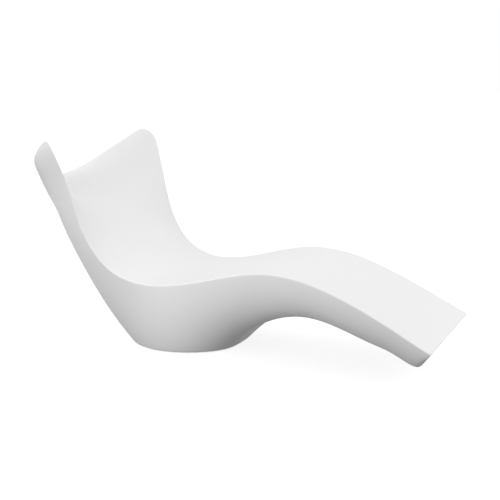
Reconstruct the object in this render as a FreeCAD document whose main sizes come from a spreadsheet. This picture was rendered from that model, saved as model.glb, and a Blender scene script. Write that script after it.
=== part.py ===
import FreeCAD, Part
import Sketcher
import os
from FreeCAD import Vector

# A relaxation lounger moulded in one hollow piece. It stands on a trunk under the seat, with a
# deep back between two raised wings, and a leg rest that reaches out free of the floor.
# +X runs from the head to the foot, +Z is up, and the origin is on the floor under the middle.

doc = FreeCAD.newDocument("Lounger")
sheet = doc.addObject("Spreadsheet::Sheet", "Sizes")

# Driving sizes in millimetres
SIZES = [
    # the moulded shell
    ("body_length", 1932),
    ("body_height", 900),
    ("wing_width", 810),
    ("wall", 7),
    ("floor_wall", 12),
    ("crease_roll", 6),
    ("under_roll", 20),
    ("floor_gap", 3),
    ("cut_overrun", 1),
    # the glide pads, each sunk into the underside
    ("pad_diameter", 52),
    ("pad_height", 9),
    ("pad_edge", 2),
    ("pad_clearance", 0.5),
    ("screw_well_diameter", 18),
    ("screw_well_depth", 5.5),
    # the threaded inserts moulded into bosses above the pads
    ("boss_diameter", 30),
    ("insert_diameter", 10),
    ("insert_length", 16),
    ("insert_neck_depth", 1),
    ("insert_neck_length", 4),
    ("insert_clearance", 0.1),
    ("tip_space", 3),
    # the screws and washers that hold the pads
    ("screw_diameter", 6),
    ("screw_length", 16),
    ("screw_clearance", 0.2),
    ("screw_head_diameter", 11),
    ("screw_head_height", 3.2),
    ("screw_head_chamfer", 0.8),
    ("drive_across_corners", 4.6),
    ("drive_depth", 2),
    ("washer_diameter", 15),
    ("washer_thickness", 1),
    # the vent plug and its flat seal
    ("vent_bore", 20),
    ("vent_clearance", 0.3),
    ("plug_head_diameter", 32),
    ("plug_head_height", 4),
    ("plug_reach", 14),
    ("plug_core_diameter", 12),
    ("plug_core_depth", 10),
    ("plug_grip_length", 22),
    ("plug_grip_width", 4),
    ("plug_grip_depth", 2.5),
    ("seal_diameter", 28),
    ("seal_thickness", 1.5),
]

for row, (alias, value) in enumerate(SIZES, start=1):
    sheet.set(f"A{row}", alias)
    sheet.set(f"B{row}", str(value))
    sheet.setAlias(f"B{row}", alias)
doc.recompute()


def size(alias):
    return float(sheet.get(alias))


# Outline of the shell, station by station from the head rim to the foot edge.
# Each point is a share of body_length from the head and a share of body_height above the base.
# The origin lies under this share of the length, which is the middle of the overall box.
origin_share = 0.5082
# The crease is the crisp edge between the lying surface and the side.
crease_shares = [
    (0.126, 0.998), (0.157, 0.984), (0.182, 0.873), (0.198, 0.760), (0.216, 0.617), (0.241, 0.500),
    (0.283, 0.400), (0.339, 0.350), (0.397, 0.343), (0.480, 0.373), (0.563, 0.421), (0.651, 0.450),
    (0.754, 0.420), (0.884, 0.312), (0.935, 0.259), (0.977, 0.214), (1.002, 0.189),
]
# Shares of half the wing width, out from the middle to the crease at the same stations
crease_out_shares = [
    0.920, 1.004, 0.988, 0.954, 0.930, 0.904, 0.864, 0.820, 0.768,
    0.736, 0.741, 0.733, 0.731, 0.741, 0.752, 0.764, 0.768,
]
# The middle line of the lying surface: deep between the wings, level with the crease at the seat
hollow_shares = [
    (0.002, 0.742), (0.034, 0.752), (0.076, 0.699), (0.128, 0.627), (0.185, 0.545), (0.234, 0.474),
    (0.283, 0.409), (0.340, 0.356), (0.397, 0.339), (0.480, 0.369), (0.563, 0.418), (0.651, 0.447),
    (0.754, 0.417), (0.884, 0.310), (0.935, 0.257), (0.977, 0.213), (1.002, 0.189),
]
# The corner line that the rounded side is drawn towards
edge_shares = [
    (0.126, 0.998), (0.100, 0.932), (0.118, 0.850), (0.138, 0.725), (0.155, 0.583), (0.181, 0.428),
    (0.225, 0.235), (0.290, 0.030), (0.387, -0.135), (0.482, -0.050), (0.559, 0.085), (0.641, 0.196),
    (0.733, 0.240), (0.868, 0.164), (0.920, 0.131), (0.971, 0.099), (0.990, 0.152),
]
edge_out_shares = [
    0.920, 0.954, 0.938, 0.893, 0.850, 0.795, 0.752, 0.742, 0.772,
    0.705, 0.700, 0.715, 0.728, 0.738, 0.748, 0.766, 0.768,
]
# The middle line of the back and underside; what falls below the base is cut off flat
belly_shares = [
    (0.002, 0.742), (0.022, 0.662), (0.049, 0.563), (0.086, 0.440), (0.133, 0.317), (0.178, 0.194),
    (0.226, 0.073), (0.290, -0.050), (0.387, -0.150), (0.488, -0.065), (0.540, 0.050), (0.602, 0.162),
    (0.722, 0.238), (0.868, 0.165), (0.920, 0.131), (0.960, 0.104), (0.990, 0.152),
]
# Where the side meets the underside: the share of the half width it has turned in by then,
# and how much faster it goes towards the middle line
turn_shares = [
    0.0, 0.05, 0.06, 0.08, 0.14, 0.22, 0.32, 0.43, 0.54,
    0.75, 0.76, 0.52, 0.38, 0.34, 0.32, 0.26, 0.10,
]
turn_down_ratio = 1.3
# How far the side holds its way from either end towards the corner line
side_hold_share = 0.6
# Across the shell: how far out each control line runs, and how much of the hollow it follows
across_out_shares = [0.72, 0.38, 0.0]
across_deep_shares = [0.42, 0.80, 1.10]
# The same for the rim, and for the lying surface and the underside at the station behind it
rim_deep_shares = [0.30, 0.78, 0.94]
neck_deep_shares = [0.30, 0.78, 0.94]
nape_deep_shares = [0.36, 0.80, 0.98]
# The small round on the crease takes up no more than this share of the side where it is narrow
roll_limit_share = 0.1
# The pads stand in two pairs about the middle of the base, so far each way along and each way out
base_middle_share = 0.394
pad_along_share = 0.075
pad_out_share = 0.31


def profile(point_shares, out_shares=None):
    """The points of one lengthwise line of the shell."""
    reach = size("wing_width") / 2
    points = []
    for i, (along, up) in enumerate(point_shares):
        out = out_shares[i] * reach if out_shares else 0
        points.append(Vector((along - origin_share) * size("body_length"), out, up * size("body_height")))
    return points


def set_in(points, partner, depth, side):
    """The line moved into the body by depth; side is 1 for upper lines and -1 for lower ones.

    The rim keeps its width, so that the hollow doesn't cross itself where the wings end."""
    last = len(points) - 1
    moved = []
    for i, point in enumerate(points):
        run = points[min(i + 1, last)] - points[max(i - 1, 0)]
        shift = Vector(run.z, 0, -run.x).normalize() * depth * side
        if i == 0:
            inward = (points[2] + partner[2]) / 2 - point
            shift = Vector(inward.x, 0, inward.z).normalize() * depth
        if i == last:
            face = partner[i] - point
            face = Vector(face.x, 0, face.z).normalize()
            shift = (face + Vector(face.z, 0, -face.x) * side) * depth
        out = max(point.y - depth, 0) if i else point.y
        moved.append(Vector(point.x + shift.x, out, point.z + shift.z))
    return moved


def between(a, b, share):
    return a + (b - a) * share


def mirrored(points):
    return [Vector(p.x, -p.y, p.z) for p in points]


def whole_row(half):
    """The row right across the shell from its half, which ends on the middle line."""
    return half + mirrored(half[-2::-1])


def width_row(edge, middle, deep_shares, reach):
    """Control points at one station, from the edge in to the middle line; reach is its half width."""
    row = []
    for out_share, deep_share in zip(across_out_shares, deep_shares):
        point = between(edge, middle, deep_share)
        point.y = reach * out_share
        row.append(point)
    return row


def way_in(edge, row, roll):
    """The point that lies in from the edge by the roll, towards the first of the row."""
    return between(edge, row[0], roll / (edge.y - row[0].y))


def turned_under(corner, middle, share):
    """Where the rounded side meets the underside, in from the corner line."""
    point = between(corner, middle, min(share * turn_down_ratio, 1))
    point.y = corner.y * (1 - share)
    return point


def side_rows_at(start, top, corner, under, roll):
    """Control points of the small round on the crease, and of the side below it, at one station."""
    bends = [top, between(top, corner, side_hold_share), between(under, corner, side_hold_share), under]
    run = top.distanceToPoint(bends[1])
    if not run:
        return [top] * 4, [top] * 4
    share = min(roll / (3 * run), roll_limit_share)
    side = [under]
    while len(bends) > 1:
        bends = [between(a, b, share) for a, b in zip(bends, bends[1:])]
        side.insert(0, bends[-1])
    strip = [start, between(start, top, 2 / 3), between(side[0], top, 2 / 3), side[0]]
    return strip, side


def smooth_speeds(points, gaps, first, final):
    """Speeds at the points of the curve through them whose curvature has no jumps."""
    last = len(points) - 1
    chords = [(points[i + 1] - points[i]) / gaps[i] for i in range(last)]
    speeds = [Vector(first).normalize() * chords[0].Length]
    follow = [0]
    for i in range(1, last):
        ahead = gaps[i - 1] / (gaps[i - 1] + gaps[i])
        behind = 1 - ahead
        pull = (chords[i - 1] * behind + chords[i] * ahead) * 3
        pivot = 2 - behind * follow[i - 1]
        follow.append(ahead / pivot)
        speeds.append((pull - speeds[i - 1] * behind) / pivot)
    speeds.append(Vector(final).normalize() * chords[-1].Length)
    for i in range(last - 1, 0, -1):
        speeds[i] -= speeds[i + 1] * follow[i]
    return speeds


def smooth_lines(rows, firsts, finals, stations):
    """Poles of a smooth lengthwise curve through each column of the rows."""
    gaps = [b - a for a, b in zip(stations, stations[1:])]
    lines = []
    for points, first, final in zip(zip(*rows), firsts, finals):
        speeds = smooth_speeds(points, gaps, first, final)
        poles = [points[0]]
        for i, gap in enumerate(gaps):
            poles.append(points[i] + speeds[i] * gap / 3)
            poles.append(points[i + 1] - speeds[i + 1] * gap / 3)
        lines.append(poles + [points[-1]])
    return lines


def skin(lines, stations):
    """A smooth face on the poles of its lengthwise curves."""
    spans = len(lines) - 3
    across_counts = [4] + [1] * (spans - 1) + [4]
    along_counts = [4] + [2] * (len(stations) - 2) + [4]
    across_knots = [k / spans for k in range(spans + 1)]
    surface = Part.BSplineSurface()
    surface.buildFromPolesMultsKnots(
        lines, across_counts, along_counts, across_knots, stations, False, False, 3, 3)
    return surface.toShape()


def station_edge(face, poles):
    """The edge of a face that runs through the last poles of its lengthwise curves."""
    ends = [poles[0][-1], poles[-1][-1]]
    for edge in face.Edges:
        corners = [vertex.Point for vertex in edge.Vertexes]
        if all(any(end.isEqual(corner, 1e-4) for corner in corners) for end in ends):
            return edge
    raise RuntimeError("no edge of the skin closes the foot")


def hull(depth):
    """The closed outer form, or with a depth the same form set in by it."""
    crease = profile(crease_shares, crease_out_shares)
    hollow = profile(hollow_shares)
    edge = profile(edge_shares, edge_out_shares)
    belly = profile(belly_shares)
    # The inner face of the wings stands up, so it keeps its place across and is set in along the shell
    upper_reaches = [point.y for point in crease]
    if depth:
        crease, edge = set_in(crease, edge, depth, 1), set_in(edge, crease, depth, -1)
        hollow, belly = set_in(hollow, belly, depth, 1), set_in(belly, hollow, depth, -1)
    last = len(crease) - 1
    stations = [0]
    for i in range(last):
        steps = [line[i].distanceToPoint(line[i + 1]) for line in (crease, hollow, edge, belly)]
        stations.append(stations[-1] + sum(steps) / len(steps))

    upper_rows, strip_rows, side_rows, lower_rows = [], [], [], []
    for i in range(last + 1):
        upper_deeps = {0: rim_deep_shares, 1: neck_deep_shares}.get(i, across_deep_shares)
        lower_deeps = {0: rim_deep_shares, 1: nape_deep_shares}.get(i, across_deep_shares)
        upper_roll = size("crease_roll") if i else 0
        upper_row = width_row(crease[i], hollow[i], upper_deeps, upper_reaches[i])
        start = way_in(crease[i], upper_row, upper_roll)
        start_way = way_in(crease[i], upper_row, upper_roll * 2)
        under = turned_under(edge[i], belly[i], turn_shares[i])
        lower_row = width_row(under, belly[i], lower_deeps, under.y)
        under_way = way_in(under, lower_row, size("under_roll") if i else 0)
        strip_row, side_row = side_rows_at(start, crease[i], edge[i], under, upper_roll)
        upper_rows.append(whole_row([start, start_way] + upper_row))
        lower_rows.append(whole_row([under, under_way] + lower_row))
        strip_rows.append(strip_row)
        side_rows.append(side_row)

    # The rim is rounded: there both skins leave square to the shell, one up and one down
    apart = [a - b for a, b in zip(upper_rows[1], lower_rows[1])]
    outward = [b - a for a, b in zip(side_rows[0], side_rows[1])]
    outward[0], outward[-1] = apart[0], -apart[0]
    # At the foot the lying surface runs straight on, and the underside turns up the end face
    along = [b - a for a, b in zip(upper_rows[-2], upper_rows[-1])]
    rise = crease[-1] - edge[-1]
    rise = Vector(rise.x, 0, rise.z).normalize()
    straight = Vector(along[0]).normalize()
    turning = [between(straight, rise, j / (len(outward) - 1)) for j in range(len(outward))]
    upper_lines = smooth_lines(upper_rows, apart, along, stations)
    lower_lines = smooth_lines(lower_rows, [-a for a in apart], [rise] * len(apart), stations)
    side_lines = smooth_lines(side_rows, outward, turning, stations)
    count = len(strip_rows[0])
    strip_lines = smooth_lines(strip_rows, [apart[0]] * count, [straight] * count, stations)
    skins = [upper_lines, lower_lines]
    for lines in (strip_lines, side_lines):
        skins += [lines, [mirrored(line) for line in lines]]

    faces, foot_edges = [], []
    for lines in skins:
        faces.append(skin(lines, stations))
        foot_edges.append(station_edge(faces[-1], lines))
    faces.append(Part.Face(Part.Wire(Part.sortEdges(foot_edges)[0])))
    closed = Part.Compound(faces)
    closed.sewShape()
    return Part.makeSolid(closed.Shells[0])


def shaped(name, shape):
    """A free-form solid that stands on the base plane of the shell."""
    form = doc.addObject("Part::Feature", name)
    form.Shape = shape
    form.setExpression("Placement.Base.z", "Sizes.floor_gap")
    return form


def bound(kind, name, **expressions):
    """A primitive with its sizes and place tied to the sheet; x, y and z are its place."""
    item = doc.addObject(kind, name)
    for key, text in expressions.items():
        item.setExpression(f"Placement.Base.{key}" if key in "xyz" else key, text)
    return item


def joined(name, items):
    union = doc.addObject("Part::MultiFuse", name)
    union.Shapes = items
    return union


def cut(name, base, tool):
    result = doc.addObject("Part::Cut", name)
    result.Base = base
    result.Tool = tool
    return result


def sketch_on(body, role, name):
    """A sketch on one of the body's own origin planes."""
    plane = [item for item in body.Origin.OriginFeatures if item.Role == role][0]
    sketch = body.newObject("Sketcher::SketchObject", name)
    sketch.AttachmentSupport = [(plane, "")]
    sketch.MapMode = "FlatFace"
    return sketch


def fenced(sketch, corners):
    """A closed run of lines whose corners are tied to the sheet; None stands for zero."""
    count = len(corners)
    for i in range(count):
        # The lines start at rough places in the corners' order, and the ties then pull them home
        turn = FreeCAD.Rotation(Vector(0, 0, 1), 360 * i / count)
        next_turn = FreeCAD.Rotation(Vector(0, 0, 1), 360 * (i + 1) / count)
        arm = Vector(size("pad_height"), 0, 0)
        sketch.addGeometry(Part.LineSegment(turn.multVec(arm), next_turn.multVec(arm)), False)
    for i in range(count):
        sketch.addConstraint(Sketcher.Constraint("Coincident", i, 2, (i + 1) % count, 1))
    for i, (across, up) in enumerate(corners):
        for kind, text, axis in (("DistanceX", across, -2), ("DistanceY", up, -1)):
            if text is None:
                sketch.addConstraint(Sketcher.Constraint("PointOnObject", i, 1, axis))
                continue
            tie = sketch.addConstraint(Sketcher.Constraint(kind, -1, 1, i, 1, size("pad_edge")))
            sketch.setExpression(f"Constraints[{tie}]", text)


def turned(name, corners):
    """A body turned about its own Z axis from the corners (radius, height) of its half section."""
    body = doc.addObject("PartDesign::Body", name)
    outline = sketch_on(body, "XZ_Plane", f"{name}_outline")
    fenced(outline, corners)
    turn = body.newObject("PartDesign::Revolution", f"{name}_turn")
    turn.Profile = outline
    turn.ReferenceAxis = (outline, ["V_Axis"])
    turn.Angle = 360
    return body


def under_box(name, top):
    """A block under the whole shell with its top at the given height."""
    return bound(
        "Part::Box", name, Length="Sizes.body_length", Width="Sizes.wing_width",
        Height="Sizes.body_height / 4", x="-Sizes.body_length / 2", y="-Sizes.wing_width / 2",
        z=f"{top} - Sizes.body_height / 4")


base_x = f"Sizes.body_length * ({base_middle_share} - {origin_share})"
pad_places = []
for along in ("-", "+"):
    for out in ("-", "+"):
        pad_x = f"{base_x} {along} Sizes.body_length * {pad_along_share}"
        pad_y = f"{out}Sizes.wing_width / 2 * {pad_out_share}"
        pad_places.append((len(pad_places) + 1, pad_x, pad_y))

# The shell: the outer form less its hollow, cut flat under the base
form = shaped("outer_form", hull(0))
hollow_form = shaped("hollow_form", hull(size("wall")))
standing_form = cut("standing_form", form, under_box("below_base", "Sizes.floor_gap"))
solid_floor = [under_box("below_hollow", "Sizes.floor_gap + Sizes.floor_wall")]
openings = []
for number, x, y in pad_places:
    solid_floor.append(bound(
        "Part::Cylinder", f"boss_{number}", Radius="Sizes.boss_diameter / 2", x=x, y=y, z="Sizes.floor_gap",
        Height="Sizes.pad_height - Sizes.floor_gap + Sizes.insert_length + Sizes.tip_space + Sizes.wall"))
    openings.append(bound(
        "Part::Cylinder", f"pad_recess_{number}", Radius="Sizes.pad_diameter / 2 + Sizes.pad_clearance",
        Height="Sizes.pad_height - Sizes.floor_gap + Sizes.cut_overrun",
        x=x, y=y, z="Sizes.floor_gap - Sizes.cut_overrun"))
    openings.append(bound(
        "Part::Cylinder", f"insert_pocket_{number}",
        Radius="Sizes.insert_diameter / 2 + Sizes.insert_clearance",
        Height="Sizes.insert_length + Sizes.tip_space + Sizes.cut_overrun",
        x=x, y=y, z="Sizes.pad_height - Sizes.cut_overrun"))
openings.append(bound(
    "Part::Cylinder", "vent_recess", Radius="Sizes.plug_head_diameter / 2 + Sizes.vent_clearance",
    Height="Sizes.plug_head_height + Sizes.seal_thickness + Sizes.cut_overrun",
    x=base_x, z="Sizes.floor_gap - Sizes.cut_overrun"))
openings.append(bound(
    "Part::Cylinder", "vent_hole", Radius="Sizes.vent_bore / 2",
    Height="Sizes.floor_wall + Sizes.cut_overrun", x=base_x, z="Sizes.floor_gap"))
hollow = cut("hollow", hollow_form, joined("solid_floor", solid_floor))
parts = [cut("body_shell", standing_form, joined("all_openings", [hollow] + openings))]

# Each pad with its insert, screw and washer
for number, x, y in pad_places:
    hole = "Sizes.screw_diameter / 2 + Sizes.screw_clearance"
    pad = turned(f"glide_pad_{number}", [
        ("Sizes.screw_well_diameter / 2", None),
        ("Sizes.pad_diameter / 2 - Sizes.pad_edge", None),
        ("Sizes.pad_diameter / 2", "Sizes.pad_edge"),
        ("Sizes.pad_diameter / 2", "Sizes.pad_height"),
        (hole, "Sizes.pad_height"),
        (hole, "Sizes.screw_well_depth"),
        ("Sizes.screw_well_diameter / 2", "Sizes.screw_well_depth"),
    ])
    insert_radius = "Sizes.insert_diameter / 2"
    neck_radius = "Sizes.insert_diameter / 2 - Sizes.insert_neck_depth"
    neck_start = "(Sizes.insert_length - Sizes.insert_neck_length) / 2"
    neck_end = "(Sizes.insert_length + Sizes.insert_neck_length) / 2"
    insert = turned(f"glide_insert_{number}", [
        (hole, None),
        (insert_radius, None),
        (insert_radius, neck_start),
        (neck_radius, neck_start),
        (neck_radius, neck_end),
        (insert_radius, neck_end),
        (insert_radius, "Sizes.insert_length"),
        (hole, "Sizes.insert_length"),
    ])
    washer = turned(f"glide_washer_{number}", [
        (hole, None),
        ("Sizes.washer_diameter / 2", None),
        ("Sizes.washer_diameter / 2", "Sizes.washer_thickness"),
        (hole, "Sizes.washer_thickness"),
    ])
    screw_radius = "Sizes.screw_diameter / 2"
    head_radius = "Sizes.screw_head_diameter / 2"
    bare_screw = turned(f"screw_blank_{number}", [
        (None, None),
        (f"{head_radius} - Sizes.screw_head_chamfer", None),
        (head_radius, "Sizes.screw_head_chamfer"),
        (head_radius, "Sizes.screw_head_height"),
        (screw_radius, "Sizes.screw_head_height"),
        (screw_radius, "Sizes.screw_head_height + Sizes.screw_length"),
        (None, "Sizes.screw_head_height + Sizes.screw_length"),
    ])
    drive = bound(
        "Part::Prism", f"drive_socket_{number}", Circumradius="Sizes.drive_across_corners / 2",
        Height="Sizes.drive_depth + Sizes.cut_overrun", z="-Sizes.cut_overrun")
    screw = cut(f"glide_screw_{number}", bare_screw, drive)
    washer_seat = "Sizes.screw_well_depth - Sizes.washer_thickness"
    heights = (
        (pad, None), (insert, "Sizes.pad_height"), (washer, washer_seat),
        (screw, f"{washer_seat} - Sizes.screw_head_height"))
    for item, z in heights:
        item.setExpression("Placement.Base.x", x)
        item.setExpression("Placement.Base.y", y)
        if z:
            item.setExpression("Placement.Base.z", z)
        parts.append(item)

# The vent plug, with a finger grip across its head, and the flat seal above the head
shank_radius = "Sizes.vent_bore / 2 - Sizes.vent_clearance"
plug_top = "Sizes.plug_head_height + Sizes.plug_reach"
core_floor = f"{plug_top} - Sizes.plug_core_depth"
plug = turned("vent_plug", [
    (None, None),
    ("Sizes.plug_head_diameter / 2", None),
    ("Sizes.plug_head_diameter / 2", "Sizes.plug_head_height"),
    (shank_radius, "Sizes.plug_head_height"),
    (shank_radius, plug_top),
    ("Sizes.plug_core_diameter / 2", plug_top),
    ("Sizes.plug_core_diameter / 2", core_floor),
    (None, core_floor),
])
seal = turned("vent_seal", [
    (f"{shank_radius} + Sizes.vent_clearance", None),
    ("Sizes.seal_diameter / 2", None),
    ("Sizes.seal_diameter / 2", "Sizes.seal_thickness"),
    (f"{shank_radius} + Sizes.vent_clearance", "Sizes.seal_thickness"),
])
grip_outline = sketch_on(plug, "XY_Plane", "grip_outline")
half_length = "Sizes.plug_grip_length / 2"
half_width = "Sizes.plug_grip_width / 2"
fenced(grip_outline, [
    (f"-{half_length}", f"-{half_width}"), (half_length, f"-{half_width}"),
    (half_length, half_width), (f"-{half_length}", half_width),
])
grip = plug.newObject("PartDesign::Pocket", "grip")
grip.Profile = grip_outline
grip.Reversed = True
grip.setExpression("Length", "Sizes.plug_grip_depth")
for item, z in ((plug, "Sizes.floor_gap"), (seal, "Sizes.floor_gap + Sizes.plug_head_height")):
    item.setExpression("Placement.Base.x", base_x)
    item.setExpression("Placement.Base.z", z)
    parts.append(item)

doc.recompute()
failed = [item.Name for item in doc.Objects if {"Invalid", "Error"} & set(item.State)]
if failed:
    raise RuntimeError(f"these did not build: {failed}")
if grip.Shape.Volume >= doc.getObject("vent_plug_turn").Shape.Volume:
    raise RuntimeError("the grip cuts nothing from the plug")

os.makedirs("parts", exist_ok=True)
for item in parts:
    if item.Shape.isNull() or not item.Shape.isValid():
        raise RuntimeError(f"{item.Label} has no valid shape")
    item.Shape.exportStep(f"parts/{item.Label}.step")
    print(item.Label, len(item.Shape.Solids), "solid", round(item.Shape.Volume / 1000, 2), "cm3")
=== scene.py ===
import math

import bpy
from bpy.props import FloatProperty, FloatVectorProperty, IntProperty, PointerProperty
from bpy.types import Operator, Panel, PropertyGroup
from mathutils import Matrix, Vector


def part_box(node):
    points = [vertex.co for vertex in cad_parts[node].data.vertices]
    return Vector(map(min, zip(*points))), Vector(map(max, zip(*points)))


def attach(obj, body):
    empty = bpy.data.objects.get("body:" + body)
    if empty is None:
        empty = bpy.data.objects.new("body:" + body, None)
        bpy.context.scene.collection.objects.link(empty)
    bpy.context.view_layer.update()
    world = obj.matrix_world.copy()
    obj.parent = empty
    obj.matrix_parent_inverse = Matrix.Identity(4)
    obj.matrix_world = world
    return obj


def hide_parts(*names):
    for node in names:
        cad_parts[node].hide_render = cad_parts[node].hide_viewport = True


bl_info = {
    "name": "Relaxation lounger",
    "version": (1, 0, 0),
    "blender": (4, 5, 0),
    "location": "View3D > Sidebar > Lounger",
    "description": "Builds a moulded relaxation lounger around its packed frame",
    "category": "Object",
}

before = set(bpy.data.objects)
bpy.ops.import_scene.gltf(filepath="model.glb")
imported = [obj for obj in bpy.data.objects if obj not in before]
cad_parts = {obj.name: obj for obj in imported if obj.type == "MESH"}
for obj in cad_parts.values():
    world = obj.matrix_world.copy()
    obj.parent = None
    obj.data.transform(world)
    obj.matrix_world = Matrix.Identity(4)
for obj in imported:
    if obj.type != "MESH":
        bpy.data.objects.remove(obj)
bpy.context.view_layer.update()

PADS = sorted(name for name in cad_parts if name.startswith("glide_pad"))

# Steps on a small round, and on a line across the shell before it is divided evenly
ROUND_STEPS = 4
FINE_STEPS = 60
# The degree of the curves across the shell
DEGREE = 3
# Vertices closer than this are one, in metres
MERGE_GAP = 0.00001
# Faces that meet at more than this stay sharp, in degrees: on the shell and on the small pieces
SHELL_SHARP_ANGLE = 40
PIECE_SHARP_ANGLE = 32

# Stations of the shell from the head rim to the foot edge, as in the part's own source.
# Each point is a share of the length from the head and a share of the height above the base.
# The origin lies under this share of the length, which is the middle of the overall box.
ORIGIN_SHARE = 0.5082
CREASE = [
    (0.126, 0.998), (0.157, 0.984), (0.182, 0.873), (0.198, 0.760), (0.216, 0.617),
    (0.241, 0.500), (0.283, 0.400), (0.339, 0.350), (0.397, 0.343), (0.480, 0.373),
    (0.563, 0.421), (0.651, 0.450), (0.754, 0.420), (0.884, 0.312), (0.935, 0.259),
    (0.977, 0.214), (1.002, 0.189),
]
CREASE_OUT = [
    0.920, 1.004, 0.988, 0.954, 0.930, 0.904, 0.864, 0.820, 0.768,
    0.736, 0.741, 0.733, 0.731, 0.741, 0.752, 0.764, 0.768,
]
HOLLOW = [
    (0.002, 0.742), (0.034, 0.752), (0.076, 0.699), (0.128, 0.627), (0.185, 0.545),
    (0.234, 0.474), (0.283, 0.409), (0.340, 0.356), (0.397, 0.339), (0.480, 0.369),
    (0.563, 0.418), (0.651, 0.447), (0.754, 0.417), (0.884, 0.310), (0.935, 0.257),
    (0.977, 0.213), (1.002, 0.189),
]
EDGE = [
    (0.126, 0.998), (0.100, 0.932), (0.118, 0.850), (0.138, 0.725), (0.155, 0.583),
    (0.181, 0.428), (0.225, 0.235), (0.290, 0.030), (0.387, -0.135), (0.482, -0.050),
    (0.559, 0.085), (0.641, 0.196), (0.733, 0.240), (0.868, 0.164), (0.920, 0.131),
    (0.971, 0.099), (0.990, 0.152),
]
EDGE_OUT = [
    0.920, 0.954, 0.938, 0.893, 0.850, 0.795, 0.752, 0.742, 0.772,
    0.705, 0.700, 0.715, 0.728, 0.738, 0.748, 0.766, 0.768,
]
BELLY = [
    (0.002, 0.742), (0.022, 0.662), (0.049, 0.563), (0.086, 0.440), (0.133, 0.317),
    (0.178, 0.194), (0.226, 0.073), (0.290, -0.050), (0.387, -0.150), (0.488, -0.065),
    (0.540, 0.050), (0.602, 0.162), (0.722, 0.238), (0.868, 0.165), (0.920, 0.131),
    (0.960, 0.104), (0.990, 0.152),
]
# Where the side meets the underside: the share of the half width it has turned in by then,
# and how much faster it goes towards the middle line
TURN_DOWN = 1.3
TURN = [
    0.0, 0.05, 0.06, 0.08, 0.14, 0.22, 0.32, 0.43, 0.54,
    0.75, 0.76, 0.52, 0.38, 0.34, 0.32, 0.26, 0.10,
]
# Control lines across the shell: how far out each runs, and how much of the hollow it follows
ACROSS_OUT = [0.72, 0.38, 0.0]
ACROSS_DEEP = [0.42, 0.80, 1.10]
# The same for the rim, and for the lying surface and the underside at the station behind it
RIM_DEEP = [0.30, 0.78, 0.94]
NECK_DEEP = [0.30, 0.78, 0.94]
NAPE_DEEP = [0.36, 0.80, 0.98]
# The round on the crease takes up no more than this share of the side where it is narrow
ROLL_LIMIT = 0.3
# How far round the tips of the wings the skin is evened, in metres, and how often
TIP_REACH = 0.03
TIP_PASSES = 10
# A vertex near the base moves in only where its normal is at least this level
LEVEL_ENOUGH = 0.1

# The pads, in metres: a small round on the rim, the corners of the lower rim as (in, up) in such
# rounds, and where the ring grooves run, as shares of the pad's radius
PAD_ROUND = 0.0006
PAD_LOWER_RIM = [(0, 4), (1.2, 1.8), (2.6, 0.5), (4.2, 0)]
GROOVE_PLACES = (0.8, 0.6)
# The plug, in metres: how far its edges are eased, and the share of that cut at the middle of the
# ease; then the room round its shank as a share of the slack, and the round of its slot as a share
# of the slot's width
PLUG_EASE = 0.0007
EASE_MIDDLE = 0.3
SHANK_SLACK = 0.6
GRIP_ROUND = 0.3

# The stage, in metres and degrees: each lamp's place and width, and what all of them point at
FLOOR_SIZE = 60
LAMPS = (
    ("key", (-1.2, -2.2, 1.0), 1.0),
    ("low", (0.0, -1.4, 0.3), 1.0),
    ("side", (3.4, 0.3, 1.8), 1.8),
    ("back", (-1.6, 0.4, 2.2), 1.0),
    ("top", (0.6, 0, 2.2), 1.0),
)
LAMP_AIM = (-0.2, 0, 0.3)
CAMERA_PLACE = (1.7161, -3.477, 1.2515)
CAMERA_TURN = (77.957, 0, 25.45)
SENSOR_WIDTH = 36


class LoungerShell(PropertyGroup):
    body_length: FloatProperty(
        name="Length", description="Head to foot", default=1.932, unit="LENGTH")
    body_height: FloatProperty(
        name="Height", description="Wings above the base", default=0.9, unit="LENGTH")
    wing_width: FloatProperty(
        name="Width", description="Across the wings", default=0.81, unit="LENGTH")
    floor_gap: FloatProperty(
        name="Floor gap", description="Base above the floor", default=0.003, unit="LENGTH")
    crease_roll: FloatProperty(
        name="Crease roll", description="Reach of the small round on the crease", default=0.006,
        unit="LENGTH")
    side_hold: FloatProperty(
        name="Side hold", description="How far the side keeps its way before it turns under",
        default=0.6)
    lip_roll: FloatProperty(
        name="Lip roll", description="Reach of the round on the upper foot edge", default=0.003,
        unit="LENGTH")
    foot_roll: FloatProperty(
        name="Foot roll", description="Reach of the round under the foot edge", default=0.012,
        unit="LENGTH")
    rim_swell: FloatProperty(
        name="Rim swell", description="How full the round of the rim is drawn", default=1.3)
    base_roll: FloatProperty(
        name="Base roll", description="Radius where the trunk meets its base", default=0.007,
        unit="LENGTH")
    under_roll: FloatProperty(
        name="Under roll", description="How far in the underside keeps the way of the side",
        default=0.02, unit="LENGTH")
    skin_columns: IntProperty(
        name="Columns", description="Faces from the middle to the crease", default=24)
    side_columns: IntProperty(name="Side columns", description="Faces down the side", default=12)
    rows: IntProperty(name="Rows", description="Rows of faces between stations", default=6)


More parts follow.
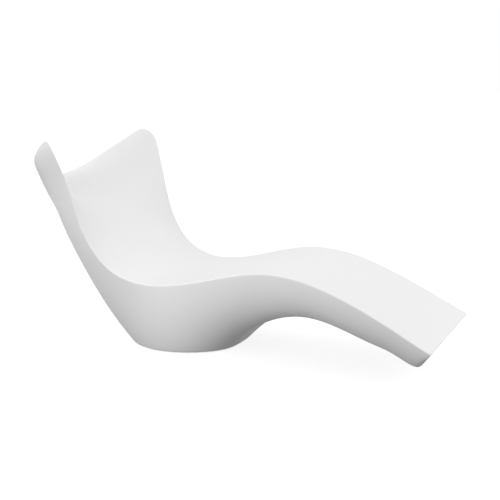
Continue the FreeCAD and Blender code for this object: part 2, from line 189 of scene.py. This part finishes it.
class LoungerFittings(PropertyGroup):
    slack: FloatProperty(
        name="Slack", description="Room round a sunk piece", default=0.0005, unit="LENGTH")
    pocket_radius: FloatProperty(
        name="Pocket radius", description="Hole for a threaded insert", default=0.0051,
        unit="LENGTH")
    pocket_top: FloatProperty(
        name="Pocket top", description="Height the insert holes reach", default=0.028,
        unit="LENGTH")
    well_radius: FloatProperty(
        name="Well radius", description="Sunk round for the screw's head", default=0.009,
        unit="LENGTH")
    well_depth: FloatProperty(
        name="Well depth", description="Depth of the round for the head", default=0.0055,
        unit="LENGTH")
    screw_hole: FloatProperty(
        name="Screw hole", description="Radius of the hole through a pad", default=0.0032,
        unit="LENGTH")
    groove: FloatProperty(
        name="Groove", description="Depth of a pad's ring grooves", default=0.0007, unit="LENGTH")
    vent_radius: FloatProperty(
        name="Vent radius", description="Hole for the plug", default=0.01, unit="LENGTH")
    vent_top: FloatProperty(
        name="Vent top", description="Height the vent reaches", default=0.03, unit="LENGTH")
    core_radius: FloatProperty(
        name="Core radius", description="Hollow inside the plug's shank", default=0.006,
        unit="LENGTH")
    core_depth: FloatProperty(
        name="Core depth", description="Depth of that hollow", default=0.01, unit="LENGTH")
    head_height: FloatProperty(
        name="Head height", description="Thickness of the plug's head", default=0.004,
        unit="LENGTH")
    grip_length: FloatProperty(
        name="Grip length", description="Slot across the plug's head", default=0.022, unit="LENGTH")
    grip_width: FloatProperty(
        name="Grip width", description="Width of the slot", default=0.004, unit="LENGTH")
    grip_depth: FloatProperty(
        name="Grip depth", description="Depth of the slot", default=0.0025, unit="LENGTH")
    sides: IntProperty(name="Sides", description="Faces round a turned piece", default=64)


class LoungerFinish(PropertyGroup):
    shell_colour: FloatVectorProperty(
        name="Shell", description="Moulded shell", default=(0.88, 0.88, 0.88), subtype="COLOR")
    rubber_colour: FloatVectorProperty(
        name="Rubber", description="Pads and seal", default=(0.05, 0.05, 0.054), subtype="COLOR")
    plug_colour: FloatVectorProperty(
        name="Plug", description="Vent plug", default=(0.78, 0.78, 0.78), subtype="COLOR")
    steel_colour: FloatVectorProperty(
        name="Steel", description="Screws and washers", default=(0.62, 0.63, 0.64), subtype="COLOR")
    brass_colour: FloatVectorProperty(
        name="Brass", description="Threaded inserts", default=(0.72, 0.55, 0.27), subtype="COLOR")


class LoungerStage(PropertyGroup):
    sky_level: FloatProperty(name="Sky", description="Even light from all round", default=0.76)
    key_power: FloatProperty(
        name="Key lamp", description="Soft lamp ahead of the trunk", default=9.5, unit="POWER")
    low_power: FloatProperty(
        name="Low lamp", description="Soft lamp near the floor in front", default=4.4, unit="POWER")
    side_power: FloatProperty(
        name="Side lamp", description="Large soft lamp beyond the foot end", default=24,
        unit="POWER")
    back_power: FloatProperty(
        name="Back lamp", description="Soft lamp over the head", default=3.2, unit="POWER")
    top_power: FloatProperty(
        name="Top lamp", description="Soft lamp over the leg rest", default=2.5, unit="POWER")
    floor_tone: FloatProperty(
        name="Floor tone", description="How much light the floor gives back", default=0.06)
    shadow_share: FloatProperty(
        name="Shadow share", description="How much of the floor's seen white takes shadow",
        default=0.3)
    floor_glow: FloatProperty(
        name="Floor glow", description="The rest of the floor's seen white", default=0.85)
    lens: FloatProperty(name="Lens", description="Focal length", default=64.8, unit="CAMERA")


def share_points(shell, shares, outs=None):
    """Points of one lengthwise line of the shell, in metres."""
    points = []
    for i, (along, up) in enumerate(shares):
        out = outs[i] * shell.wing_width / 2 if outs else 0
        height = up * shell.body_height + shell.floor_gap
        points.append(Vector(((along - ORIGIN_SHARE) * shell.body_length, out, height)))
    return points


def control_row(edge, middle, roll, deeps):
    """Control points across the shell at one station, from the crease to the other crease."""
    row = [edge.copy()]
    for out, deep in zip(ACROSS_OUT, deeps):
        point = edge.lerp(middle, deep)
        point.y = edge.y * out
        row.append(point)
    row.insert(1, edge.lerp(row[1], roll / (edge.y - row[1].y)))
    return row + [Vector((p.x, -p.y, p.z)) for p in row[-2::-1]]


def turned_under(corner, middle, share):
    """Where the round side meets the underside, in from the corner towards the middle."""
    point = corner.lerp(middle, min(share * TURN_DOWN, 1))
    point.y = corner.y * (1 - share)
    return point


def side_controls(top, corner, under, hold):
    """Control points down the side, from the crease round the corner to the underside."""
    return [top.copy(), top.lerp(corner, hold), under.lerp(corner, hold), under.copy()]


def line_speeds(points, gaps, first, final, swell):
    """Speeds along a line through the points whose curvature has no jumps."""
    last = len(points) - 1
    chords = [(points[i + 1] - points[i]) / gaps[i] for i in range(last)]
    speeds = [first.normalized() * chords[0].length * swell]
    follow = [0]
    for i in range(1, last):
        ahead = gaps[i - 1] / (gaps[i - 1] + gaps[i])
        pull = (chords[i - 1] * (1 - ahead) + chords[i] * ahead) * 3
        pivot = 2 - (1 - ahead) * follow[i - 1]
        follow.append(ahead / pivot)
        speeds.append((pull - speeds[i - 1] * (1 - ahead)) / pivot)
    speeds.append(final.normalized() * chords[-1].length)
    for i in range(last - 1, 0, -1):
        speeds[i] = speeds[i] - speeds[i + 1] * follow[i]
    return speeds


def lines_at(rows, firsts, finals, gaps, stops, swell):
    """The lengthwise lines through the columns of the rows, read at each (span, share) stop.

    The rim swells fully at the middle line, and less and less towards the crease."""
    columns = []
    for points, first, final in zip(zip(*rows), firsts, finals):
        inward = 1 - abs(points[1].y) / rows[1][0].y
        speeds = line_speeds(points, gaps, first, final, 1 + (swell - 1) * inward)
        column = []
        for span, t in stops:
            gap = gaps[span]
            column.append(
                points[span] * (2 * t ** 3 - 3 * t ** 2 + 1)
                + speeds[span] * (gap * (t ** 3 - 2 * t ** 2 + t))
                + points[span + 1] * (3 * t ** 2 - 2 * t ** 3)
                + speeds[span + 1] * (gap * (t ** 3 - t ** 2)))
        columns.append(column)
    return list(zip(*columns))


def across_point(controls, share):
    """A point on the smooth curve that the control points draw across the shell."""
    spans = len(controls) - DEGREE
    place = share * spans
    base = min(int(place), spans - 1)
    held = [controls[base + j] for j in range(DEGREE + 1)]
    for level in range(1, DEGREE + 1):
        for j in range(DEGREE, level - 1, -1):
            low = max(base + j - DEGREE, 0)
            high = min(base + j + 1 - level, spans)
            mix = (place - low) / (high - low)
            held[j] = held[j - 1].lerp(held[j], mix)
    return held[DEGREE]


def spread(line, start, end, count):
    """Evenly spaced points along the line, from start after its beginning to end before its end."""
    runs = [0]
    for a, b in zip(line, line[1:]):
        runs.append(runs[-1] + (b - a).length)
    points, k = [], 0
    for i in range(count + 1):
        goal = start + (runs[-1] - start - end) * i / count
        while k < len(line) - 2 and runs[k + 1] < goal:
            k += 1
        step = runs[k + 1] - runs[k]
        share = (goal - runs[k]) / step if step else 0
        points.append(line[k].lerp(line[k + 1], share))
    return points


def rolled(a, corner, b):
    """Points between a and b on the round that replaces the corner."""
    points = []
    for k in range(1, ROUND_STEPS):
        t = k / ROUND_STEPS
        points.append(a.lerp(corner, t).lerp(corner.lerp(b, t), t))
    return points


def section(shell, upper, side, lower):
    """Half a ring of the shell, from the middle of the lying surface to that of the underside."""
    steps = range(FINE_STEPS + 1)
    top_line = [across_point(upper, 0.5 - 0.5 * k / FINE_STEPS) for k in steps]
    side_line = [across_point(side, k / FINE_STEPS) for k in steps]
    low_line = [across_point(lower, 0.5 * k / FINE_STEPS) for k in steps]
    drop = sum((b - a).length for a, b in zip(side_line, side_line[1:]))
    crease_roll = min(shell.crease_roll, drop * ROLL_LIMIT)
    top = spread(top_line, 0, crease_roll, shell.skin_columns)
    flank = spread(side_line, crease_roll, 0, shell.side_columns)
    low = spread(low_line, 0, 0, shell.skin_columns)
    ring = top + rolled(top[-1], side_line[0], flank[0]) + flank + low[1:]
    ring[0].y = ring[-1].y = 0
    return ring


def shell_rings(shell):
    """All the rings of the shell's half, from the rim of the head to the rounded foot edge."""
    crease = share_points(shell, CREASE, CREASE_OUT)
    hollow = share_points(shell, HOLLOW)
    edge = share_points(shell, EDGE, EDGE_OUT)
    belly = share_points(shell, BELLY)
    last = len(crease) - 1
    lines = (crease, hollow, edge, belly)
    gaps = []
    for i in range(last):
        gaps.append(sum((line[i + 1] - line[i]).length for line in lines) / len(lines))
    uppers, sides, lowers = [], [], []
    for i in range(last + 1):
        under = turned_under(edge[i], belly[i], TURN[i])
        upper_deeps = {0: RIM_DEEP, 1: NECK_DEEP}.get(i, ACROSS_DEEP)
        lower_deeps = {0: RIM_DEEP, 1: NAPE_DEEP}.get(i, ACROSS_DEEP)
        uppers.append(control_row(crease[i], hollow[i], shell.crease_roll if i else 0, upper_deeps))
        lowers.append(control_row(under, belly[i], shell.under_roll if i else 0, lower_deeps))
        sides.append(side_controls(crease[i], edge[i], under, shell.side_hold))
    apart = [a - b for a, b in zip(uppers[1], lowers[1])]
    outward = [b - a for a, b in zip(sides[0], sides[1])]
    outward[0], outward[-1] = apart[0], -apart[0]
    along = [b - a for a, b in zip(uppers[-2], uppers[-1])]
    rise = crease[-1] - edge[-1]
    rise = Vector((rise.x, 0, rise.z)).normalized()
    straight = along[0].normalized()
    turning = [straight.lerp(rise, j / (len(outward) - 1)) for j in range(len(outward))]

    # The rows stand twice as close on the round of the rim
    rim_rows = 2 * shell.rows
    stops = [(0, k / rim_rows) for k in range(rim_rows)]
    for span in range(1, last):
        stops += [(span, k / shell.rows) for k in range(shell.rows)]
    stops.append((last - 1, 1.0))
    swell = shell.rim_swell
    upper_lines = lines_at(uppers, apart, along, gaps, stops, swell)
    lower_lines = lines_at(lowers, [-a for a in apart], [rise] * len(along), gaps, stops, swell)
    side_lines = lines_at(sides, outward, turning, gaps, stops, swell)
    rings = [section(shell, *parts) for parts in zip(upper_lines, side_lines, lower_lines)]

    # The foot edge: each column stops short of the end face and turns on to it
    columns = [list(column) for column in zip(*rings)]
    top_count = shell.skin_columns + ROUND_STEPS
    half_face = (crease[-1] - edge[-1]).length / 2
    middle = (crease[-1] + edge[-1]) / 2
    for j, column in enumerate(columns):
        share = min(max((j - top_count) / shell.side_columns, 0), 1)
        roll = shell.lip_roll + (shell.foot_roll - shell.lip_roll) * share
        end = column[-1]
        target = Vector((middle.x, min(end.y, edge[-1].y - half_face), middle.z))
        short = spread(column[-shell.rows - 1:], 0, roll, shell.rows)
        turned_end = end + (target - end).normalized() * roll
        column[-shell.rows - 1:] = short + rolled(short[-1], end, turned_end) + [turned_end]
    return [list(ring) for ring in zip(*columns)]


def only(item):
    """Leaves this one object selected and active."""
    bpy.ops.object.select_all(action="DESELECT")
    item.select_set(True)
    bpy.context.view_layer.objects.active = item


def named(name):
    """The new object, with its name and its mesh's name set."""
    item = bpy.context.object
    item.name = name
    item.data.name = name
    return item


def apply_all(item):
    """Applies all the modifiers of this object in order."""
    only(item)
    for modifier in list(item.modifiers):
        bpy.ops.object.modifier_apply(modifier=modifier.name)


def pick_vertices(item, test):
    """Selects the vertices that pass the test, and opens the mesh for editing."""
    only(item)
    bpy.ops.object.mode_set(mode="EDIT")
    bpy.ops.mesh.select_mode(type="VERT")
    bpy.ops.mesh.select_all(action="DESELECT")
    bpy.ops.object.mode_set(mode="OBJECT")
    for vertex in item.data.vertices:
        vertex.select = test(vertex.co)
    bpy.ops.object.mode_set(mode="EDIT")


def backdrop_rays(nodes, links):
    """One for the rays that see the white backdrop: straight, mirrored or through glass."""
    rays = nodes.new("ShaderNodeLightPath")
    seen = rays.outputs["Is Camera Ray"]
    for name in ("Is Glossy Ray", "Is Transmission Ray"):
        either = nodes.new("ShaderNodeMath")
        either.operation = "MAXIMUM"
        links.new(seen, either.inputs[0])
        links.new(rays.outputs[name], either.inputs[1])
        seen = either.outputs["Value"]
    return seen


def node_material(name, colour, roughness):
    """A material with its shader's fixed values set, and its nodes at hand."""
    material = bpy.data.materials.new(name)
    material.use_nodes = True
    nodes = material.node_tree.nodes
    shader = nodes["Principled BSDF"]
    shader.inputs["Base Color"].default_value = (*colour, 1)
    shader.inputs["Roughness"].default_value = roughness
    return material, nodes, material.node_tree.links, shader


def object_noise(nodes, links, scale, detail, stretch=None):
    """Noise on the piece's own coordinates, made finer along an axis by a stretch above one."""
    place = nodes.new("ShaderNodeTexCoord").outputs["Object"]
    if stretch:
        mapping = nodes.new("ShaderNodeMapping")
        mapping.inputs["Scale"].default_value = stretch
        links.new(place, mapping.inputs["Vector"])
        place = mapping.outputs["Vector"]
    noise = nodes.new("ShaderNodeTexNoise")
    noise.inputs["Scale"].default_value = scale
    noise.inputs["Detail"].default_value = detail
    links.new(place, noise.inputs["Vector"])
    return noise.outputs["Fac"]


def ranged(nodes, links, source, low, high):
    """The source's range from nothing to one, laid on the range from low to high."""
    reach = nodes.new("ShaderNodeMapRange")
    reach.inputs["To Min"].default_value = low
    reach.inputs["To Max"].default_value = high
    links.new(source, reach.inputs["Value"])
    return reach.outputs["Result"]


def toned(colour, gains):
    """The colour with each of its parts scaled."""
    return tuple(part * gain for part, gain in zip(colour, gains))


def tinted(nodes, links, shader, share, low, high):
    """Lets the base colour drift from low to high with the share."""
    tint = nodes.new("ShaderNodeMix")
    tint.data_type = "RGBA"
    tint.inputs["A"].default_value = (*low, 1)
    tint.inputs["B"].default_value = (*high, 1)
    links.new(share, tint.inputs["Factor"])
    links.new(tint.outputs["Result"], shader.inputs["Base Color"])


def raised(nodes, links, shader, height, strength, distance, under=None):
    """Raises the skin with the height, on top of an earlier raising where one is given."""
    bump = nodes.new("ShaderNodeBump")
    bump.inputs["Strength"].default_value = strength
    bump.inputs["Distance"].default_value = distance
    links.new(height, bump.inputs["Height"])
    if under is not None:
        links.new(under, bump.inputs["Normal"])
    links.new(bump.outputs["Normal"], shader.inputs["Normal"])
    return bump.outputs["Normal"]


def shell_plastic(finish):
    """Satin white moulded plastic with the faint grain and waves of a tumbled moulding."""
    colour = finish.shell_colour
    material, nodes, links, shader = node_material("shell_plastic", colour, roughness=0.45)
    shader.inputs["IOR"].default_value = 1.5
    cloud = object_noise(nodes, links, scale=2.6, detail=2)
    tinted(nodes, links, shader, cloud, toned(colour, (0.99, 0.99, 0.99)), colour)
    grain = object_noise(nodes, links, scale=420, detail=2)
    links.new(ranged(nodes, links, grain, low=0.42, high=0.5), shader.inputs["Roughness"])
    waves = object_noise(nodes, links, scale=14, detail=1)
    swell = raised(nodes, links, shader, waves, strength=0.05, distance=0.002)
    raised(nodes, links, shader, grain, strength=0.08, distance=0.0004, under=swell)
    return material


def rubber(finish, name):
    """Dull moulded rubber with a fine pimpled skin and a trace of dust."""
    colour = finish.rubber_colour
    material, nodes, links, shader = node_material(name, colour, roughness=0.7)
    dust = object_noise(nodes, links, scale=90, detail=4)
    tinted(nodes, links, shader, dust, colour, toned(colour, (2, 2, 1.9)))
    links.new(ranged(nodes, links, dust, low=0.6, high=0.85), shader.inputs["Roughness"])
    pimples = object_noise(nodes, links, scale=1400, detail=2)
    raised(nodes, links, shader, pimples, strength=0.3, distance=0.0002)
    return material


def bright_metal(name, colour, roughness, line_scale):
    """Turned or rolled metal with fine lines that run level round it."""
    material, nodes, links, shader = node_material(name, colour, roughness)
    shader.inputs["Metallic"].default_value = 1
    lines = object_noise(nodes, links, line_scale, detail=3, stretch=(1, 1, 12))
    worn = ranged(nodes, links, lines, roughness * 0.75, roughness * 1.35)
    links.new(worn, shader.inputs["Roughness"])
    tinted(nodes, links, shader, lines, toned(colour, (0.86, 0.86, 0.86)), colour)
    raised(nodes, links, shader, lines, strength=0.15, distance=0.0001)
    return material


def plug_plastic(finish):
    """Light grey turned plastic, a little duller than the shell."""
    colour = finish.plug_colour
    material, nodes, links, shader = node_material("plug_plastic", colour, roughness=0.5)
    cloud = object_noise(nodes, links, scale=60, detail=3)
    tinted(nodes, links, shader, cloud, toned(colour, (0.95, 0.95, 0.95)), colour)
    grain = object_noise(nodes, links, scale=900, detail=2)
    links.new(ranged(nodes, links, grain, low=0.42, high=0.6), shader.inputs["Roughness"])
    raised(nodes, links, shader, grain, strength=0.15, distance=0.0002)
    return material


def middle_of(node):
    low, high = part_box(node)
    return (Vector(low) + Vector(high)) / 2


def half_width_of(node):
    low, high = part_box(node)
    return (high[0] - low[0]) / 2


def turned(name, middle, steps, sides, ring):
    """A piece turned about the upright line through middle, from its (radius, height) corners.

    A ring closes on its first corner; any other piece is capped at both ends."""
    radius, height = steps[0]
    bpy.ops.object.select_all(action="DESELECT")
    bpy.ops.mesh.primitive_circle_add(
        vertices=sides, radius=radius, location=(middle.x, middle.y, height))
    item = named(name)
    bpy.ops.object.transform_apply(location=True, rotation=True, scale=True)
    bpy.ops.object.mode_set(mode="EDIT")
    bpy.ops.mesh.select_all(action="SELECT")
    for next_radius, next_height in steps[1:] + (steps[:1] if ring else []):
        rise = (0, 0, next_height - height)
        bpy.ops.mesh.extrude_edges_move(TRANSFORM_OT_translate={"value": rise})
        share = next_radius / radius
        bpy.ops.transform.resize(
            value=(share, share, 1), center_override=(middle.x, middle.y, next_height))
        radius, height = next_radius, next_height
    bpy.ops.mesh.select_all(action="SELECT")
    bpy.ops.mesh.remove_doubles(threshold=MERGE_GAP)
    if not ring:
        bpy.ops.mesh.fill_holes(sides=sides + 1)
        bpy.ops.mesh.select_all(action="SELECT")
    bpy.ops.mesh.normals_make_consistent(inside=False)
    bpy.ops.object.mode_set(mode="OBJECT")
    return item


def cut_away(item, cutter):
    """Takes the cutter's form out of the item, and deletes the cutter."""
    only(item)
    cutting = item.modifiers.new("Cut", "BOOLEAN")
    cutting.operation = "DIFFERENCE"
    cutting.solver = "EXACT"
    cutting.object = cutter
    before = len(item.data.polygons)
    bpy.ops.object.modifier_apply(modifier=cutting.name)
    if len(item.data.polygons) == before:
        raise RuntimeError(f"{cutter.name} cuts nothing from {item.name}")
    bpy.data.objects.remove(cutter)


def shell_skin(rings):
    """The shell's open skin: half of it a grid laid on the rings, then mirrored and made finer."""
    tall, wide = len(rings) - 1, len(rings[0]) - 1
    bpy.ops.object.select_all(action="DESELECT")
    bpy.ops.mesh.primitive_grid_add(x_subdivisions=tall, y_subdivisions=wide, size=1)
    item = named("lounger_shell")
    for vertex in item.data.vertices:
        i = round((vertex.co.x + 0.5) * tall)
        j = round((vertex.co.y + 0.5) * wide)
        vertex.co = rings[i][j]
    bpy.ops.object.mode_set(mode="EDIT")
    bpy.ops.mesh.select_all(action="SELECT")
    bpy.ops.mesh.remove_doubles(threshold=MERGE_GAP)
    bpy.ops.object.mode_set(mode="OBJECT")
    mirror = item.modifiers.new("Other half", "MIRROR")
    mirror.use_axis = (False, True, False)
    mirror.merge_threshold = MERGE_GAP
    smooth = item.modifiers.new("Finer skin", "SUBSURF")
    smooth.levels = smooth.render_levels = 1
    apply_all(item)
    return item


def even_tips(item, tip):
    """Evens the skin round the tips of both wings, and leaves the mesh open for editing."""
    pick_vertices(item, lambda co: (Vector((co.x, abs(co.y), co.z)) - tip).length < TIP_REACH)
    bpy.ops.mesh.vertices_smooth(factor=0.5, repeat=TIP_PASSES)


def stand_flat(item, base, base_roll):
    """Closes the foot's end face, cuts the trunk flat and rounds it where it meets its base."""
    bpy.ops.mesh.select_all(action="DESELECT")
    bpy.ops.mesh.select_mode(type="EDGE")
    bpy.ops.mesh.select_non_manifold(extend=False)
    bpy.ops.mesh.edge_face_add()
    bpy.ops.mesh.select_all(action="SELECT")
    bpy.ops.mesh.normals_make_consistent(inside=False)
    bpy.ops.mesh.bisect(
        plane_co=(0, 0, base), plane_no=(0, 0, 1), use_fill=True, clear_inner=True)
    for k in range(1, ROUND_STEPS + 1):
        bpy.ops.mesh.select_all(action="SELECT")
        bpy.ops.mesh.bisect(
            plane_co=(0, 0, base + base_roll * k / ROUND_STEPS), plane_no=(0, 0, 1))
    bpy.ops.object.mode_set(mode="OBJECT")
    for vertex in item.data.vertices:
        rise = max(vertex.co.z - base, 0)
        if rise < base_roll:
            reach = base_roll - math.sqrt(base_roll ** 2 - (base_roll - rise) ** 2)
            level = Vector((vertex.normal.x, vertex.normal.y, 0))
            if level.length > LEVEL_ENOUGH:
                vertex.co -= level.normalized() * reach


def sink_round(item, fittings, below, node, top_node, hole_radius, hole_top):
    """Cuts a round for the node, up to the top of top_node, and a narrower hole above it."""
    wide = half_width_of(node) + fittings.slack
    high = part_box(top_node)[1][2]
    steps = [(wide, below), (wide, high), (hole_radius, high), (hole_radius, hole_top)]
    cut_away(item, turned(f"{node}_cutter", middle_of(node), steps, fittings.sides, False))


class LOUNGER_OT_shell(Operator):
    """Adds the moulded shell, with its recesses for the pads and the vent"""
    bl_idname = "lounger.shell"
    bl_label = "Add shell"

    def execute(self, context):
        shell = context.scene.lounger_shell
        rings = shell_rings(shell)
        item = shell_skin(rings)
        even_tips(item, rings[0][shell.skin_columns])
        stand_flat(item, shell.floor_gap, shell.base_roll)

        fittings = context.scene.lounger_fittings
        below = -shell.floor_gap
        holes = [(node, node, fittings.pocket_radius, fittings.pocket_top) for node in PADS]
        holes.append(("vent_plug", "vent_seal", fittings.vent_radius, fittings.vent_top))
        for hole in holes:
            sink_round(item, fittings, below, *hole)

        only(item)
        bpy.ops.object.shade_smooth_by_angle(angle=math.radians(SHELL_SHARP_ANGLE))
        item.data.materials.clear()
        item.data.materials.append(shell_plastic(context.scene.lounger_finish))
        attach(item, "root")
        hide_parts("body_shell")
        return {"FINISHED"}


class LOUNGER_OT_pads(Operator):
    """Adds the glide pads, with a rounded rim and two ring grooves under each"""
    bl_idname = "lounger.pads"
    bl_label = "Add glide pads"

    def execute(self, context):
        fittings = context.scene.lounger_fittings
        finish = rubber(context.scene.lounger_finish, "pad_rubber")
        for node in PADS:
            wide = half_width_of(node)
            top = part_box(node)[1][2]
            steps = [(fittings.screw_hole, top), (wide - PAD_ROUND, top), (wide, top - PAD_ROUND)]
            steps += [(wide - PAD_ROUND * inward, PAD_ROUND * up) for inward, up in PAD_LOWER_RIM]
            for share in GROOVE_PLACES:
                out = wide * share
                steps += [
                    (out + fittings.groove * 2, 0), (out + fittings.groove, fittings.groove),
                    (out - fittings.groove, fittings.groove), (out - fittings.groove * 2, 0)]
            steps += [
                (fittings.well_radius + PAD_ROUND, 0), (fittings.well_radius, PAD_ROUND),
                (fittings.well_radius, fittings.well_depth),
                (fittings.screw_hole, fittings.well_depth)]
            item = turned(f"{node}_rubber", middle_of(node), steps, fittings.sides, True)
            bpy.ops.object.shade_smooth_by_angle(angle=math.radians(PIECE_SHARP_ANGLE))
            item.data.materials.append(finish)
            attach(item, "root")
            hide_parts(node)
        return {"FINISHED"}


class LOUNGER_OT_plug(Operator):
    """Adds the vent plug, with its eased head and the slot to turn it by"""
    bl_idname = "lounger.plug"
    bl_label = "Add vent plug"

    def execute(self, context):
        fittings = context.scene.lounger_fittings
        low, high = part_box("vent_plug")
        wide = half_width_of("vent_plug")
        bottom, top = low[2], high[2]
        head_top = bottom + fittings.head_height
        shank = fittings.vent_radius - fittings.slack * SHANK_SLACK
        bulge = PLUG_EASE * EASE_MIDDLE
        steps = [
            (wide - PLUG_EASE, bottom), (wide - bulge, bottom + bulge), (wide, bottom + PLUG_EASE),
            (wide, head_top - PLUG_EASE / 2), (wide - PLUG_EASE / 2, head_top), (shank, head_top),
            (shank, top - PLUG_EASE), (shank - PLUG_EASE, top), (fittings.core_radius, top),
            (fittings.core_radius, top - fittings.core_depth)]
        middle = middle_of("vent_plug")
        item = turned("vent_plug_turned", middle, steps, fittings.sides, False)
        bpy.ops.object.select_all(action="DESELECT")
        bpy.ops.mesh.primitive_cube_add(size=1, location=(middle.x, middle.y, bottom))
        slot = named("grip_cutter")
        slot.scale = (fittings.grip_length, fittings.grip_width, fittings.grip_depth * 2)
        bpy.ops.object.transform_apply(location=True, rotation=True, scale=True)
        bpy.ops.object.mode_set(mode="EDIT")
        bpy.ops.mesh.select_all(action="SELECT")
        bpy.ops.mesh.bevel(offset=fittings.grip_width * GRIP_ROUND, segments=ROUND_STEPS)
        bpy.ops.object.mode_set(mode="OBJECT")
        cut_away(item, slot)
        only(item)
        bpy.ops.object.shade_smooth_by_angle(angle=math.radians(PIECE_SHARP_ANGLE))
        item.data.materials.append(plug_plastic(context.scene.lounger_finish))
        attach(item, "root")
        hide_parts("vent_plug")
        return {"FINISHED"}


class LOUNGER_OT_fixings(Operator):
    """Gives the inserts, washers, screws and the seal their finishes"""
    bl_idname = "lounger.fixings"
    bl_label = "Finish fixings"

    def execute(self, context):
        finish = context.scene.lounger_finish
        brass = bright_metal("insert_brass", finish.brass_colour, roughness=0.34, line_scale=300)
        steel = bright_metal("fixing_steel", finish.steel_colour, roughness=0.28, line_scale=420)
        seal = rubber(finish, "seal_rubber")
        done = 0
        for name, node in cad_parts.items():
            for start, material in (("glide_insert", brass), ("glide_washer", steel),
                                    ("glide_screw", steel), ("vent_seal", seal)):
                if name.startswith(start):
                    node.data.materials.clear()
                    node.data.materials.append(material)
                    done += 1
        if not done:
            raise RuntimeError("the frame has no fixings")
        return {"FINISHED"}


class LOUNGER_OT_stage(Operator):
    """Adds the floor, the soft sky, the lamps and the camera"""
    bl_idname = "lounger.stage"
    bl_label = "Add stage"

    def execute(self, context):
        stage = context.scene.lounger_stage
        context.scene.view_settings.view_transform = "Standard"
        bpy.ops.object.select_all(action="DESELECT")
        bpy.ops.mesh.primitive_plane_add(size=FLOOR_SIZE)
        floor = named("floor")
        material, nodes, links, shader = node_material(
            "floor", (stage.floor_tone,) * 3, roughness=0.9)
        shader.inputs["Specular IOR Level"].default_value = 0
        pale = nodes.new("ShaderNodeBsdfDiffuse")
        pale.inputs["Color"].default_value = (*(stage.shadow_share,) * 3, 1)
        glow = nodes.new("ShaderNodeEmission")
        glow.inputs["Strength"].default_value = stage.floor_glow
        lit = nodes.new("ShaderNodeAddShader")
        links.new(pale.outputs["BSDF"], lit.inputs[0])
        links.new(glow.outputs["Emission"], lit.inputs[1])
        mix = nodes.new("ShaderNodeMixShader")
        links.new(backdrop_rays(nodes, links), mix.inputs["Fac"])
        links.new(shader.outputs["BSDF"], mix.inputs[1])
        links.new(lit.outputs["Shader"], mix.inputs[2])
        links.new(mix.outputs["Shader"], nodes["Material Output"].inputs["Surface"])
        floor.data.materials.append(material)

        world = bpy.data.worlds.new("soft_sky")
        context.scene.world = world
        world.use_nodes = True
        nodes, links = world.node_tree.nodes, world.node_tree.links
        sky = nodes["Background"]
        sky.inputs["Strength"].default_value = stage.sky_level
        white = nodes.new("ShaderNodeBackground")
        for background in (sky, white):
            background.inputs["Color"].default_value = (1, 1, 1, 1)
        mix = nodes.new("ShaderNodeMixShader")
        links.new(backdrop_rays(nodes, links), mix.inputs["Fac"])
        links.new(sky.outputs["Background"], mix.inputs[1])
        links.new(white.outputs["Background"], mix.inputs[2])
        links.new(mix.outputs["Shader"], nodes["World Output"].inputs["Surface"])

        for name, place, width in LAMPS:
            bpy.ops.object.light_add(type="AREA", location=place)
            lamp = context.object
            lamp.name = f"{name}_lamp"
            lamp.data.energy = getattr(stage, f"{name}_power")
            lamp.data.size = width
            way = Vector(LAMP_AIM) - Vector(place)
            lamp.rotation_euler = way.to_track_quat("-Z", "Y").to_euler()
            lamp.visible_camera = False

        bpy.ops.object.camera_add(
            location=CAMERA_PLACE, rotation=[math.radians(turn) for turn in CAMERA_TURN])
        camera = context.object
        camera.data.lens = stage.lens
        camera.data.sensor_width = SENSOR_WIDTH
        context.scene.camera = camera
        return {"FINISHED"}


class LOUNGER_PT_panel(Panel):
    """Lists the steps, and the sizes and colours they take"""
    bl_idname = "LOUNGER_PT_panel"
    bl_label = "Relaxation lounger"
    bl_space_type = "VIEW_3D"
    bl_region_type = "UI"
    bl_category = "Lounger"

    def draw(self, context):
        for step in STEPS:
            self.layout.operator(step.bl_idname)
        for key, kind in GROUPS.items():
            group = getattr(context.scene, key)
            for size in kind.__annotations__:
                self.layout.prop(group, size)


GROUPS = {
    "lounger_shell": LoungerShell, "lounger_fittings": LoungerFittings,
    "lounger_finish": LoungerFinish, "lounger_stage": LoungerStage}
STEPS = (LOUNGER_OT_stage, LOUNGER_OT_shell, LOUNGER_OT_pads, LOUNGER_OT_plug, LOUNGER_OT_fixings)


def register():
    for key, group in GROUPS.items():
        bpy.utils.register_class(group)
        setattr(bpy.types.Scene, key, PointerProperty(type=group))
    for step in STEPS + (LOUNGER_PT_panel,):
        bpy.utils.register_class(step)


def unregister():
    for step in STEPS + (LOUNGER_PT_panel,):
        bpy.utils.unregister_class(step)
    for key, group in GROUPS.items():
        delattr(bpy.types.Scene, key)
        bpy.utils.unregister_class(group)


def main():
    register()
    bpy.ops.lounger.stage()
    bpy.ops.lounger.shell()
    bpy.ops.lounger.pads()
    bpy.ops.lounger.plug()
    bpy.ops.lounger.fixings()


if __name__ == "__main__":
    main()
